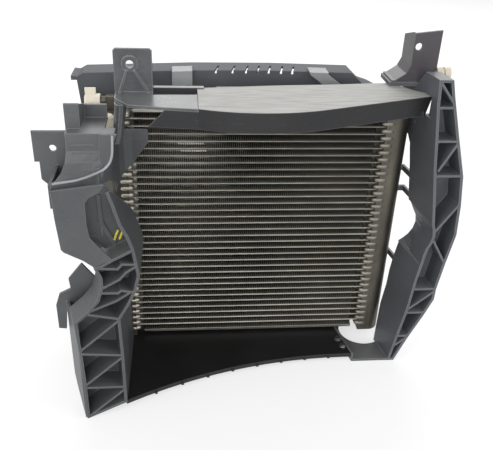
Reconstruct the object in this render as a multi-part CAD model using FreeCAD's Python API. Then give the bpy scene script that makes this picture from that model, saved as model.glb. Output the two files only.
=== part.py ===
import FreeCAD, Part
import math
import os

# Auxiliary radiator in its moulded air guide, in millimetres.
# X runs along the core tubes, Y goes back through the core and Z is up.
# Sizes are laid out from the middle of the core's front face, on the standing plane.
# The export moves everything so that the origin lies in the middle of the rear frame's foot.

# Fits and clearances
slip = 0.3
braze_gap = 0.1
screw_play = 0.1

# Finned core
tube_pitch = 7.5
tube_count = 33
tube_thickness = 1.8
tube_nose = 0.8
core_depth = 20.0
fin_width = 234.0
fin_waves = 4
fin_sheet = 0.5
fin_inset = 1.0
core_floor = 15.0
side_plate_sheet = 1.2
side_plate_lip = 3.0

# Header tanks: a flat header plate closed by a round-backed shell
tank_radius = 12.5
tank_wall = 1.6
tank_gap = 8.0
header_lip = 3.0
tank_overhang = 3.5
tank_cap_sheet = 1.5
tube_entry = 3.0

# Ports and their caps
port_radius = 4.4
port_bore = 3.4
port_block = 10.0
lower_port_height = 253.0
lower_port_forward = 21.0
lower_port_outward = 2.5
collar_radius = 7.0
collar_height = 3.0
port_neck = 5.3
upper_port_rise = 6.8
cap_wall = 1.8
cap_length = 14.5
cap_tab_width = 10.0
cap_tab_height = 5.7
cap_tab_inset = 0.7
cap_tab_sheet = 2.0

# Moulded walls
wall = 2.5
rib = 2.0
truss_depth = 26.0

# Heights above the core's top, or below it
visor_rise = 26.0
shelf_rise = 11.0
ridge_drop = 20.0

# Base
floor_height = 7.0
foot_front = -45.0
foot_line = ((109.0, -42.0), (94.0, 28.0))
foot_cut_radius = 25.0
foot_cut_place = (131.5, 6.0)
floor_inset = 21.0
tongue = 9.0
nub_count = 8
nub_width = 3.0
nub_depth = 1.2
foot_screw_depths = (-30.0, -18.0)

# Left side
left_corner_out = 17.0
left_corner_depth = -116.0
left_yaw = 16.0
scoop_back = -85.0
scoop_sheet = 1.8
scoop_proud = 0.2
shelf_back = -72.0
flange_front = -10.0
flange_rise = 6.0
left_wall_back = -12.0
left_seal_top = 122.0
recess_depth = 18.0
box_height = 21.0
box_back = -45.0
side_flare = 20.0
tab_hole_radius = 3.0
tab_hole = (-28.0, -17.0)

# Upper air guide
visor_lip = 18.0
visor_seam = -58.0

# Brackets
bracket_hole_radius = 3.3
left_bracket_width = 33.0
left_bracket_rise = 38.0
left_bracket_inset = 20.0
left_bracket_front = -24.0
left_hole = (-116.0, 25.0)
bracket_boss_radius = 7.0
bracket_boss_height = 2.0
post_sides = 12
bracket_sheet = 1.5
right_hole = (-5.0, 33.0)
right_flange_depth = 30.0
right_bracket_rise = 45.0
beam_sheet = 4.0
beam_length = 36.0

# Rear frame
frame_front = 30.0
frame_depth = 28.0
frame_overhang = 18.0
window_margin = 5.0
window_low = 27.0
window_drop = 8.0

# Fasteners: hexagon heads with a shank
screw_radius = 2.0
screw_head_radius = 4.0
screw_head_height = 2.4
screw_length = 8.0
grommet_radius = 7.0
lug_width = 20.0
lug_height = 14.0
lug_heights = (60.0, 215.0)

# Right side
upper_slant = -0.12
lower_slant = -0.17
small_hole_radius = 1.3
small_hole = (-2.0, 262.0)
frame_tab_height = 6.0
frame_tab_reach = 10.0
frame_tab_near = -2.0
bush_radius = 6.2
bush_length = 13.0
bush_groove = 2.0
bush_core_radius = 4.7
bush_offset = 15.5
bush_rise = 8.0
pin_radius = 3.2

# Values that follow from the sizes above
core_height = tube_pitch * (tube_count + 1)
core_top = core_floor + core_height
tank_x = fin_width / 2 + tank_gap + tank_radius
tank_y = core_depth / 2
tank_side = tank_x + tank_radius
tank_low = core_floor - tank_overhang - tank_cap_sheet
tank_high = core_top - tank_cap_sheet
fin_height = tube_pitch - tube_thickness
tube_reach = tank_x - tank_radius + tube_entry
visor_height = core_top + visor_rise
visor_under = visor_height - wall
shelf_height = core_top + shelf_rise
ridge_height = core_top - ridge_drop
flange_height = ridge_height + flange_rise
bracket_seat = visor_height + beam_sheet
left_corner = (-tank_side - left_corner_out, left_corner_depth)

# The side outlines are drawn for a core that ends at this height and stretch with it
drawn_core_top = 270.0
rise = core_top / drawn_core_top

V = FreeCAD.Vector


def outlined(steps, place):
    """Face from steps: a point is reached by a line, a pair of points by an arc through the first."""
    first = place(*steps[0])
    here = first
    edges = []
    for step in steps[1:]:
        if isinstance(step[0], tuple):
            middle, end = place(*step[0]), place(*step[1])
            edges.append(Part.Arc(here, middle, end).toShape())
        else:
            end = place(*step)
            edges.append(Part.makeLine(here, end))
        here = end
    edges.append(Part.makeLine(here, first))
    return Part.Face(Part.Wire(edges))


def mitred(path, offset, closed=False):
    """The same path moved sideways to its left by an offset, with mitred corners."""
    count = len(path)
    moved = []
    for i, point in enumerate(path):
        before = path[i - 1] if closed or i > 0 else None
        after = path[(i + 1) % count] if closed or i < count - 1 else None
        normals = []
        for a, b in ((before, point), (point, after)):
            if a is not None and b is not None:
                length = math.hypot(b[0] - a[0], b[1] - a[1])
                normals.append((-(b[1] - a[1]) / length, (b[0] - a[0]) / length))
        nx = sum(n[0] for n in normals)
        ny = sum(n[1] for n in normals)
        scale = offset * len(normals) / (nx * nx + ny * ny)
        moved.append((point[0] + nx * scale, point[1] + ny * scale))
    return moved


def strip(path, thickness):
    """Closed outline of a wall that follows an open path, on its left side."""
    return path + mitred(path, thickness)[::-1]


def raised(points):
    """Outline points whose heights stretch with the core."""
    return [(a, z * rise) for a, z in points]


def from_left(points):
    """Outline points measured from the left tank's outer side."""
    return [(x - tank_side, b) for x, b in points]


def from_right(points):
    """Outline points measured from the right tank's outer side."""
    return [(x + tank_side, b) for x, b in points]


def toward(point, centre, distance):
    """A point moved towards a centre by a distance."""
    length = math.hypot(centre[0] - point[0], centre[1] - point[1])
    return tuple(p + (c - p) / length * distance for p, c in zip(point, centre))


def circle_centre(a, b, c):
    """Centre of the circle through three points."""
    d = 2 * (a[0] * (b[1] - c[1]) + b[0] * (c[1] - a[1]) + c[0] * (a[1] - b[1]))
    squares = [p[0] ** 2 + p[1] ** 2 for p in (a, b, c)]
    x = (squares[0] * (b[1] - c[1]) + squares[1] * (c[1] - a[1]) + squares[2] * (a[1] - b[1])) / d
    y = (squares[0] * (c[0] - b[0]) + squares[1] * (a[0] - c[0]) + squares[2] * (b[0] - a[0])) / d
    return x, y


def plan(outline, low, high):
    """Solid with a plan outline between two heights."""
    return outlined(outline, lambda x, y: V(x, y, low)).extrude(V(0, 0, high - low))


def front(outline, near, far):
    """Solid with a front-view outline of X and Z points, between two depths."""
    return outlined(outline, lambda x, z: V(x, near, z)).extrude(V(0, far - near, 0))


def side(outline, left, right):
    """Solid with a side-view outline of Y and Z points, between two X places."""
    return outlined(outline, lambda y, z: V(left, y, z)).extrude(V(right - left, 0, 0))


def flat(corners):
    return Part.Face(Part.makePolygon(corners + corners[:1]))


def lofted(rings):
    """Solid between flat rings of corners, with flat triangles from ring to ring."""
    faces = [flat(rings[0]), flat(rings[-1])]
    for a, b in zip(rings, rings[1:]):
        for i in range(len(a)):
            j = (i + 1) % len(a)
            faces += [flat([a[i], a[j], b[j]]), flat([a[i], b[j], b[i]])]
    shell = Part.Shell(faces)
    shell.sewShape()
    solid = Part.Solid(shell)
    return solid if solid.Volume > 0 else Part.Solid(shell.reversed())


def rod(radius, start, end):
    axis = V(*end) - V(*start)
    return Part.makeCylinder(radius, axis.Length, V(*start), axis)


def prism(sides, radius, start, end):
    """Straight bar with a regular section, for hidden shanks and hexagon heads."""
    axis = V(*end) - V(*start)
    across = V(0, 0, 1).cross(axis) if abs(axis.z) < abs(axis.x) + abs(axis.y) else V(1, 0, 0).cross(axis)
    across.normalize()
    up = V(axis).normalize().cross(across)
    ring = []
    for i in range(sides):
        angle = 2 * math.pi * i / sides
        ring.append(V(*start) + across * (radius * math.cos(angle)) + up * (radius * math.sin(angle)))
    return Part.Face(Part.makePolygon(ring + ring[:1])).extrude(axis)


def box(low, high):
    size = V(*high) - V(*low)
    return Part.makeBox(size.x, size.y, size.z, V(*low))


def joined(solids):
    first = solids[0]
    return first.multiFuse(solids[1:]).removeSplitter() if len(solids) > 1 else first


def rib_between(a, b, thickness):
    """Outline of a straight rib centred on the line from a to b."""
    length = math.hypot(b[0] - a[0], b[1] - a[1])
    dx = (b[0] - a[0]) / length * thickness / 2
    dz = (b[1] - a[1]) / length * thickness / 2
    return [(a[0] - dx - dz, a[1] - dz + dx), (b[0] + dx - dz, b[1] + dz + dx),
            (b[0] + dx + dz, b[1] + dz - dx), (a[0] - dx + dz, a[1] - dz - dx)]


def truss(outline, ribs, depth, slant):
    """Open-fronted box truss: rim, zigzag ribs and a back web, seen from the front."""
    back = V(slant * depth, depth, 0)

    def block(points, length):
        return outlined(points, lambda x, z: V(x, 0, z)).extrude(back * (length / depth))

    solid = block(outline, depth)
    hollow = block(mitred(outline, wall, closed=True), depth - wall)
    bars = [block(rib_between(a, b, rib), depth - wall) for a, b in ribs]
    return solid.cut(hollow.cut(joined_bars(bars)))


def joined_bars(bars):
    return bars[0].multiFuse(bars[1:])


# Flat tubes of the core, each with a thin nose at its front and back
def make_tubes():
    half = tube_thickness / 2
    section = [(0, -half + tube_nose), (tube_nose, -half), (core_depth - tube_nose, -half),
               (core_depth, -half + tube_nose), (core_depth, half - tube_nose),
               (core_depth - tube_nose, half), (tube_nose, half), (0, half - tube_nose)]
    tubes = []
    for i in range(tube_count):
        middle = core_floor + tube_pitch * (i + 1)
        tubes.append(side([(y, z + middle) for y, z in section], -tube_reach, tube_reach))
    return tubes


# Folded fin strips, one between each pair of tubes and beside each side plate
def make_fins():
    step = fin_width / fin_waves / 2
    crest = fin_height - fin_sheet
    lower = [(-fin_width / 2 + step * i, crest * (i % 2)) for i in range(2 * fin_waves + 1)]
    upper = [(x, z + fin_sheet) for x, z in lower]
    strips = []
    for i in range(tube_count + 1):
        base = core_floor + tube_pitch * i + tube_thickness / 2
        outline = [(x, z + base) for x, z in lower + upper[::-1]]
        strips.append(front(outline, fin_inset, core_depth - fin_inset))
    return strips


# Channel-shaped side plate that closes the top or the bottom of the core
def make_side_plate(height, outward):
    base = height - outward * tube_thickness / 2
    thick = outward * side_plate_sheet
    lip = outward * side_plate_lip
    section = [(0, base), (core_depth, base), (core_depth, base + lip),
               (core_depth - side_plate_sheet, base + lip), (core_depth - side_plate_sheet, base + thick),
               (side_plate_sheet, base + thick), (side_plate_sheet, base + lip), (0, base + lip)]
    return side(section, -fin_width / 2, fin_width / 2)


# Header plate pierced by a row of slots, one for each flat tube
def make_header(sign):
    low = tank_low + tank_cap_sheet
    mouth = tank_x - tank_radius
    back = tank_y - tank_radius
    far = tank_y + tank_radius
    section = [(mouth, back), (mouth + header_lip, back), (mouth + header_lip, back + tank_wall),
               (mouth + tank_wall, back + tank_wall), (mouth + tank_wall, far - tank_wall),
               (mouth + header_lip, far - tank_wall), (mouth + header_lip, far), (mouth, far)]
    header = plan([(sign * x, y) for x, y in section], low, tank_high)
    half = tube_thickness / 2 + braze_gap
    slots = []
    for i in range(tube_count):
        middle = core_floor + tube_pitch * (i + 1)
        reach = sorted((sign * (mouth - 1), sign * (mouth + header_lip + 1)))
        slots.append(box((reach[0], -braze_gap, middle - half),
                         (reach[1], core_depth + braze_gap, middle + half)))
    return header.cut(Part.makeCompound(slots))


def tank_block(sign, radius, mouth, low, high):
    """Solid with the tank's section: straight sides from the mouth, then a half round."""
    near = tank_y - radius
    far = tank_y + radius
    corners = [V(sign * x, y, low) for x, y in ((mouth, near), (tank_x, near), (tank_x + radius, tank_y),
                                                (tank_x, far), (mouth, far))]
    edges = [Part.makeLine(corners[0], corners[1]), Part.Arc(*corners[1:4]).toShape(),
             Part.makeLine(corners[3], corners[4]), Part.makeLine(corners[4], corners[0])]
    return Part.Face(Part.Wire(edges)).extrude(V(0, 0, high - low))


# Round-backed shell brazed to the header plate's lips
def make_tank(sign):
    low = tank_low + tank_cap_sheet
    mouth = tank_x - tank_radius + header_lip
    outer = tank_block(sign, tank_radius, mouth, low, tank_high)
    return outer.cut(tank_block(sign, tank_radius - tank_wall, mouth - 1, low, tank_high)).removeSplitter()


def make_tank_caps(sign):
    caps = []
    for low in (tank_low, tank_high):
        cap = tank_block(sign, tank_radius, tank_x - tank_radius, low, low + tank_cap_sheet)
        caps.append(cap.removeSplitter())
    return caps


# Lower port: collar and stub on a block that stands in front of the left tank
lower_port_place = (-tank_x - lower_port_outward, tank_y - lower_port_forward)
cap_outer = port_radius + slip + cap_wall
cap_reach = cap_length - cap_wall - slip


def make_lower_port():
    x, y = lower_port_place
    base = lower_port_height
    stub_top = base + collar_height + cap_reach
    half = port_block / 2
    stub = rod(port_radius, (x, y, base), (x, y, stub_top))
    collar = rod(collar_radius, (x, y, base), (x, y, base + collar_height))
    block = box((x - half, y - half, base - port_block), (x + half, tank_y, base))
    body = joined([stub, collar, block]).cut(rod(port_bore, (x, y, base - half), (x, y, stub_top)))
    return body.cut(tank_block(-1, tank_radius, tank_x - tank_radius, tank_low, tank_high))


# Upper port: block on the left tank's top cap with a stub that points outwards
upper_port_height = tank_high + tank_cap_sheet + upper_port_rise
upper_cap_start = -tank_x - port_radius - port_neck
upper_port_end = upper_cap_start - cap_reach


def make_upper_port():
    height = upper_port_height
    half = port_block / 2
    block = box((-tank_x - half, tank_y - half, tank_high + tank_cap_sheet),
                (-tank_x + half, tank_y + half, height + half))
    stub = rod(port_radius, (-tank_x, tank_y, height), (upper_port_end, tank_y, height))
    return block.fuse(stub).cut(rod(port_bore, (-tank_x, tank_y, height), (upper_port_end, tank_y, height)))


# Pull-off port cap with a domed end
def make_cap(start, direction):
    end = tuple(s + d * cap_length for s, d in zip(start, direction))
    deep = tuple(s + d * (cap_length - cap_wall) for s, d in zip(start, direction))
    body = rod(cap_outer, start, end)
    rim = [edge for edge in body.Edges if V(*end).distanceToPoint(edge.CenterOfMass) < 1]
    return body.makeChamfer(cap_wall, rim).cut(rod(port_radius + slip, start, deep))


def make_upper_cap():
    cap = make_cap((upper_cap_start, tank_y, upper_port_height), (-1, 0, 0))
    left = upper_cap_start - cap_length + cap_tab_inset
    seat = upper_port_height + cap_outer
    tab = box((left, tank_y - cap_tab_sheet / 2, seat - cap_wall),
              (left + cap_tab_width, tank_y + cap_tab_sheet / 2, seat + cap_tab_height))
    hollow = rod(port_radius + slip, (upper_cap_start, tank_y, upper_port_height),
                 (left, tank_y, upper_port_height))
    return cap.fuse(tab.cut(hollow)).removeSplitter()


# Lug saddled on the back of a tank, with a rubber ring and a screw through the frame
lug_back = frame_front - 1.8


def screw_hole(start, end):
    return prism(8, screw_radius + screw_play, start, end)


def at_lugs(make):
    return [make(sign * tank_x, height * rise) for sign in (-1, 1) for height in lug_heights]


def make_lug(x, z):
    block = box((x - lug_width / 2, tank_y + tank_radius / 2, z - lug_height / 2),
                (x + lug_width / 2, lug_back, z + lug_height / 2))
    sign = math.copysign(1, x)
    saddle = tank_block(sign, tank_radius, tank_x - tank_radius, z - lug_height, z + lug_height)
    return block.cut(saddle).cut(screw_hole((x, lug_back - 2, z), (x, lug_back, z)))


def make_grommet(x, z):
    ring = prism(16, grommet_radius, (x, lug_back, z), (x, frame_front, z))
    return ring.cut(screw_hole((x, lug_back, z), (x, frame_front, z)))


def make_screw(seat, direction, length):
    """Hexagon-head screw; the head sits on the seat and the shank runs along the direction."""
    tip = tuple(s + d * length for s, d in zip(seat, direction))
    top = tuple(s - d * screw_head_height for s, d in zip(seat, direction))
    return prism(6, screw_head_radius, top, seat).fuse(prism(8, screw_radius, seat, tip))


def make_core_screw(x, z):
    return make_screw((x, frame_front + wall, z), (0, -1, 0), frame_front + wall - lug_back + 1.5)


# Rear frame: a picture-frame channel behind the core, open at its back
frame_left = -tank_side - frame_overhang
frame_right = tank_side
window_side = fin_width / 2 + window_margin
window_high = core_top - window_drop
frame_crest = from_left([(-14, core_top + 27), (88, core_top + 30.5)]) + \
    from_right([(-136, core_top + 31), (-57, core_top + 29.5)])
frame_outline = [(frame_left, 0), (frame_right, 0)] + \
    from_right([(0, core_top - 2), (-34, core_top + 15), (-45, core_top + 18.5)]) + frame_crest[::-1] + \
    from_left([(-21, core_top + 23), (-18, core_top - 8)])
frame_window = [(-window_side, window_low), (window_side, window_low), (window_side, window_high),
                (-window_side, window_high)]
slot_places = [-36, -20, -7, 4, 15, 27, 38]
frame_screw_places = [(-90.0, 18.0), (90.0, 18.0)]
frame_tabs = [(z * rise, x + tank_side, slant)
              for z, x, slant in ((100.0, 14.0, lower_slant), (173.0, 21.0, upper_slant),
                                  (197.0, 17.0, upper_slant))]
tab_screw_places = [(tank_side - frame_tab_reach + 4, z + frame_tab_height / 2) for z, _, _ in frame_tabs]
rail_screw_place = (-tank_side - 6, ridge_height + 3.5)


def crest_at(x):
    """Height of the frame's top edge above a place on X."""
    for a, b in zip(frame_crest, frame_crest[1:]):
        if a[0] <= x <= b[0]:
            return a[1] + (b[1] - a[1]) * (x - a[0]) / (b[0] - a[0])


def frame_hole(x, z):
    """Cutter for a screw hole through the frame's front wall and what is laid on it."""
    return screw_hole((x, frame_front - wall - 1, z), (x, frame_front + wall + 1, z))


def make_rear_frame():
    back = frame_front + frame_depth
    rib_back = back - 4
    plate = front(frame_outline, frame_front, back)
    plate = plate.cut(front(frame_window, frame_front - 1, back + 1))
    inner = mitred(frame_outline, wall, closed=True)
    margin = mitred(frame_window, -wall, closed=True)
    trough = front(inner, frame_front + wall, back + 1).cut(front(margin, frame_front, back + 2))
    middle = (frame_left - window_side) / 2
    bars = [box((middle, frame_front, 0), (middle + rib, rib_back, core_top + 26))]
    for i in range(1, 5):
        z = window_low + (window_high - window_low) * (i + 0.3) / 5
        bars.append(box((frame_left - wall, frame_front, z), (-window_side, rib_back, z + rib)))
        bars.append(box((window_side, frame_front, z), (frame_right, rib_back, z + rib)))
    for i in range(-2, 3):
        x = window_side * i / 2.5
        bars.append(box((x, frame_front, 0), (x + rib, rib_back, window_low)))
        bars.append(box((x, frame_front, window_high), (x + rib, rib_back, core_top + 28)))
    hook = front(from_left([(-26, core_top + 20), (-19, core_top + 20), (-19, core_top + 23.4),
                            (-26, core_top + 24)]), frame_front, back)
    frame = plate.cut(trough.cut(joined_bars(bars))).fuse(hook).removeSplitter()
    slots = [plan([(x - 5, frame_front - 1), (x - 3, frame_front - 1), (x + 1, frame_front + 17),
                   (x - 1, frame_front + 17)], crest_at(x) - wall - 1, crest_at(x) + 1) for x in slot_places]
    holes = at_lugs(frame_hole)
    holes += [frame_hole(x, z) for x, z in frame_screw_places + tab_screw_places + [rail_screw_place]]
    return frame.cut(Part.makeCompound(slots + holes))


# Screws that hold the guides together and to the rear frame
def make_guide_screws():
    places = frame_screw_places + tab_screw_places + [rail_screw_place]
    screws = [make_screw((x, frame_front - wall, z), (0, 1, 0), screw_length) for x, z in places]
    deck = floor_height + wall
    return screws + [make_screw((x, y, deck), (0, 0, -1), screw_length) for x, y in foot_screw_places]


# Clips that sit on the frame's top edge and reach down in front of it
def make_clip(x, width, drop, lean):
    near = frame_front - 10
    top = [(x, crest_at(x)), (x + width, crest_at(x + width))]
    hook = front(top + [(p[0], p[1] + rib) for p in top[::-1]], near, frame_front + 8)
    leg = front([top[0], (x, top[0][1] + rib), (x + width, top[1][1] + rib), top[1],
                 (x + width + lean, top[1][1] - drop), (x + lean, top[1][1] - drop)], near, near + wall)
    return leg.fuse(hook).removeSplitter()


# Floor of the duct: its front edge is one arc that follows the bumper line
floor_left = -tank_side + floor_inset
floor_ends = ((floor_left, -103.0), (-17.0, -58.5), (foot_line[0][0] - slip, foot_front + 1.5))
floor_back = frame_front - wall


def foot_edge(y):
    """Place on X of the edge where the floor steps down to the foot."""
    (xa, ya), (xb, yb) = foot_line
    return xa + (xb - xa) * (y - ya) / (yb - ya)


foot_screw_places = [(foot_edge(y) - tongue / 2, y) for y in foot_screw_depths]


def make_floor():
    a, middle, b = floor_ends
    centre = circle_centre(a, middle, b)
    outline = [(floor_left, floor_back), a, (middle, b), (foot_edge(floor_back), floor_back)]
    deck = plan(outline, floor_height, floor_height + wall)
    inner = [toward(p, centre, -rib) for p in (b, middle, a)]
    lip = plan([a, (middle, b), inner[0], (inner[1], inner[2])], floor_height - 2, floor_height)
    upstand = box((floor_left, floor_back, floor_height), (foot_edge(frame_front), frame_front, window_low - 2))
    nubs = []
    radius = math.hypot(a[0] - centre[0], a[1] - centre[1])
    for i in range(nub_count):
        x = floor_left + (b[0] - floor_left) * (i + 1) / (nub_count + 1)
        y = centre[1] + math.copysign(math.sqrt(radius ** 2 - (x - centre[0]) ** 2), middle[1] - centre[1])
        nubs.append(box((x, y - nub_depth, floor_height - 2), (x + nub_width, y + rib, floor_height)))
    solid = joined([deck, lip, upstand] + nubs)
    holes = [frame_hole(x, z) for x, z in frame_screw_places]
    holes += [screw_hole((x, y, 0), (x, y, floor_height + wall + 1)) for x, y in foot_screw_places]
    return solid.cut(Part.makeCompound(holes))


# Left truss, drawn in its own plane and then turned to the bumper line
left_outer = raised([(1, 0), (1, 43), (0, 83), (-2, 115), (11, 125), (20, 135), (24, 148), (24, 157),
                     (20, 168)])
left_inner = raised([(40, 9.5), (40, 67), (39, 110), (48, 124), (55, 138), (59, 154), (57, 168), (55, 182)])
duct_path = left_inner + raised([(51, 195), (46, 206), (43, 217), (40, 229), (37, 239)])
left_ribs = [((22, 168), (40, 164)), ((40, 164), (44, 168)), ((44, 168), (58, 165)),
             ((24, 146), (41, 153)), ((41, 153), (47, 159)), ((47, 159), (57, 164)),
             ((24, 142), (39, 139)), ((39, 139), (42, 141)), ((42, 141), (55, 136)),
             ((14, 125), (37, 131)), ((37, 131), (49, 137)), ((8, 123), (40, 110)), ((39, 110), (1, 83)),
             ((0, 80), (40, 68)), ((40, 67), (2, 41)), ((1, 39), (40, 29)), ((40, 27), (3, 2))]


def turned(solid):
    solid.rotate(V(0, 0, 0), V(0, 0, 1), left_yaw)
    solid.translate(V(left_corner[0], left_corner[1], 0))
    return solid


def left_plane(s, z):
    """Point of the left front plane, s millimetres along it and z up."""
    angle = math.radians(left_yaw)
    return V(left_corner[0] + s * math.cos(angle), left_corner[1] + s * math.sin(angle), z)


def from_left_plane(outline, length):
    """Solid with an outline on the left front plane, drawn straight back."""
    return outlined(outline, left_plane).extrude(V(0, length, 0))


def make_duct_wall():
    rear = raised([(left_wall_back, -1), (left_wall_back, left_seal_top), (-33, 134), (-35, 150), (-38, 165),
                   (-51, 182), (-52, 194), (-58, 204), (-74, 217), (-88, 229), (-104, 239), (-104, 260),
                   (60, 260), (60, -1)])
    return from_left_plane(strip(duct_path, wall), 150).cut(side(rear, -tank_side - 100, 0))


def make_left_truss():
    outline = left_inner + raised([(36, 175)]) + left_outer[::-1]
    frame = turned(truss(outline, [tuple(raised(pair)) for pair in left_ribs], truss_depth, 0))
    flare = math.radians(side_flare)
    outer = []
    for t, z in raised([(2, 0), (30, 12), (44, 22), (44, 112), (4, 115)]):
        outer.append((left_corner[0] - t * math.sin(flare), left_corner[1] + t * math.cos(flare), z))
    across = V(math.cos(flare), math.sin(flare), 0) * wall
    side_skin = outlined(outer, V).extrude(across)
    web_back = shelf_back - 3
    web = front(from_left(raised([(0, 134), (-14, 153), (-16, 151), (-27, 137), (-26, 126), (-37, 120),
                                  (-39, 114), (-41, 108), (-41, 81), (-34, 80), (-32, 100), (0, 100)])),
                web_back - wall, web_back)
    side_return = box((-tank_side - wall, scoop_back - 1.5, 100 * rise), (-tank_side, web_back, 134 * rise))
    return joined([frame, side_skin, web, side_return, make_duct_wall()])


# Left air guide: front panel, scoop, shelf, box and the flange in front of the core
corner_path = from_left([(9.4, -90.4), (13.2, -83.5), (16.7, -67), (16.9, -60)])
flange_path = from_left([(16.9, -63), (17, -26), (19.5, -18), (24, -12.5), (31, flange_front),
                         (46, flange_front)])
scoop_front = from_left([(-25, -115), (-4, -106), (3.5, -99), (9, -91)])
scoop_top = from_left([(x, scoop_back - scoop_proud) for x in (-15, -4.5, 5, 13.5)])
scoop_curve = [(0, -0.45), (0, 0), (0.3, -0.016), (0.62, 0.065), (0.85, 0.23), (0.97, 0.52), (1, 1)]


def make_scoop():
    """Ridge band and the bowl that climbs from it to the shelf, hollow in each section."""
    rings = []
    for a, b in zip(scoop_front, scoop_top):
        way = V(b[0] - a[0], b[1] - a[1], 0)
        face_line = [V(a[0], a[1], ridge_height + share * (shelf_height - ridge_height)) + way * along
                     for along, share in scoop_curve]
        shift = V(way).normalize() * scoop_sheet - V(0, 0, scoop_sheet)
        rings.append(face_line + [p + shift for p in reversed(face_line)])
    return lofted(rings)


def make_left_guide():
    low = 190 * rise
    flange_cut = front(from_left(raised([(15, 189), (16, 203), (21, 212), (31, 222), (45, 242), (50, 242),
                                         (50, 189)])), -26, 0)
    side_cut = side(raised([(-90, 189), (-90, 238), (-66, 232), (-26, 208), (-20, 189)]),
                    -tank_side + 11, -tank_side + 22)
    corner = plan(strip(corner_path, wall), low, ridge_height - slip)
    skin = corner.fuse(plan(strip(flange_path, wall), low, flange_height)).cut(flange_cut).cut(side_cut)
    edge = front(from_left([(9.5, ridge_height - 12), (14, ridge_height - 1), (19, ridge_height + 5),
                            (21, ridge_height + 11), (22, ridge_height + 22), (26, shelf_height - slip),
                            (12, shelf_height - slip)]), scoop_back - 1.6, scoop_back + slip)
    panel = raised([(-8, 246), (-7, 219), (-5, 192), (-3, 189), (12, 178), (20, 170), (36, 175), (30, 182),
                    (19, 199), (17, 214), (17, 231), (21, 236), (29, 239), (34, 246)])
    sheet = turned(front(panel, 0, wall))
    deep = recess_depth
    return_wall = turned(front(raised([(15, 200), (17.5, 200), (17.5, 236), (15, 236)]), 0, deep))
    recess = turned(front(raised([(15, 236), (15, 198), (33, 176), (36, 176.5), (51, 182.5), (56.5, 184.5),
                                  (52.8, 195), (47.8, 206), (44.8, 217), (42, 229), (39.5, 237)]),
                          deep, deep + wall))
    spine = turned(front(raised([(30, 203), (37, 187), (41, 179), (44, 180), (40, 188), (33, 204), (32, 230),
                                 (29, 230)]), deep - 3, deep))
    shelf = box((-tank_side - 15.5, scoop_back, shelf_height - wall),
                (-tank_side + 24, shelf_back, shelf_height))
    solids = [skin, sheet, return_wall, recess, spine, shelf, edge, make_scoop()]
    return joined(solids + make_shelf_box() + make_side_tab()).cut(frame_hole(*rail_screw_place))


def make_shelf_box():
    top = shelf_height + box_height
    near = shelf_back - wall
    low = shelf_height - wall
    slope = [(near, low), (near, top), (box_back, top - 9.5), (box_back, low)]
    left = -tank_side - 16
    right = -tank_side + 15
    rail_low = ridge_height - 5
    rail_high = ridge_height + 12
    return [box((left, near, low), (left + 12, shelf_back, top)),
            side(slope, left + 10, left + 12),
            box((left + 10, box_back - wall, low), (right, box_back, top - 9.5)),
            box((left, near, low), (right, box_back, shelf_height)),
            box((left, near, rail_low), (left + wall, frame_front, rail_high)),
            box((left, frame_front - wall, rail_low), (left + 16, frame_front, rail_high))]


def make_side_tab():
    top = shelf_height - 2
    low = ridge_height - 20
    near = shelf_back - wall
    tab = front(from_left([(-44, low + 22), (-40, low + 22), (-40, low + 6), (-34, low), (-13, low),
                           (-13, top), (-44, top)]), near, shelf_back)
    x, z = -tank_side + tab_hole[0], shelf_height + tab_hole[1]
    hole = rod(tab_hole_radius, (x, near - 1, z), (x, shelf_back + 1, z))
    web = side([(-113, low - 2), (-113, ridge_height - 1), (shelf_back, ridge_height - 1), (shelf_back, low)],
               -tank_side - 27, -tank_side - 27 + wall)
    return [tab.cut(hole), web]


# Upper left bracket: shelf, corner post and the upright plate with the left hole
post_places = [((20, -40), 5.5, 7.0, 0), ((22.7, -41.5), 4.6, 7.5, 0.22), ((26.5, -44), 5.5, 9.0, 1)]


def make_post():
    rings = []
    for (out, cy), rx, ry, share in post_places:
        height = flange_height + share * (visor_under - flange_height)
        ring = []
        for i in range(post_sides):
            angle = 2 * math.pi * i / post_sides
            ring.append(V(-tank_side + out + rx * math.cos(angle), cy + ry * math.sin(angle), height))
        rings.append(ring)
    return lofted(rings)


def make_left_bracket():
    left = -tank_side + left_bracket_inset
    right = left + left_bracket_width
    near = left_bracket_front
    far = near + wall
    seam = visor_seam - slip
    deck = plan([(left + 1, -41), (left + 13, -58), (left + 40, -63.5), (seam, -68), (seam, -30),
                 (right, -31), (right, far), (left, far)], visor_under, visor_height)
    top = visor_height + left_bracket_rise
    plate = front([(left, visor_under), (right, visor_under), (right, top - 2), (right - 2, top),
                   (left + 2, top), (left, top - 2)], near, far)
    cheeks = [box((left, far, visor_under), (left + rib, far + 6, top - 3)),
              box((right - rib, far, visor_under), (right, far + 6, top - 3))]
    x, z = left_hole[0], visor_height + left_hole[1]
    boss = rod(bracket_boss_radius, (x, near - bracket_boss_height, z), (x, near, z))
    legs = [front(rib_between((x - 3, z - 6), (left + 4, visor_height - 1), rib), near - 3, near),
            front(rib_between((x + 4, z - 6), (right - 3, visor_height - 1), rib), near - 3, near)]
    hole = rod(bracket_hole_radius, (x, near - 5, z), (x, far + 1, z))
    return joined([deck, plate, boss, make_post()] + cheeks + legs).cut(hole)


# Visor: top plate with a deep front lip; its front edge is an arc and then a straight run
visor_arc = ((visor_seam, -68.0), (5.0, -77.5), (51.0, -68.0))
visor_tip = (tank_side + 6, -29.0)
visor_start = (-101.0, -61.5)
visor_rear = [(tank_side + 7, -25), (tank_side - 8, -12), (tank_side - 24, 10), (tank_side - 44, 8),
              (66, 3), (18, -1), (-28, -7), (visor_seam, -11)]


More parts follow.
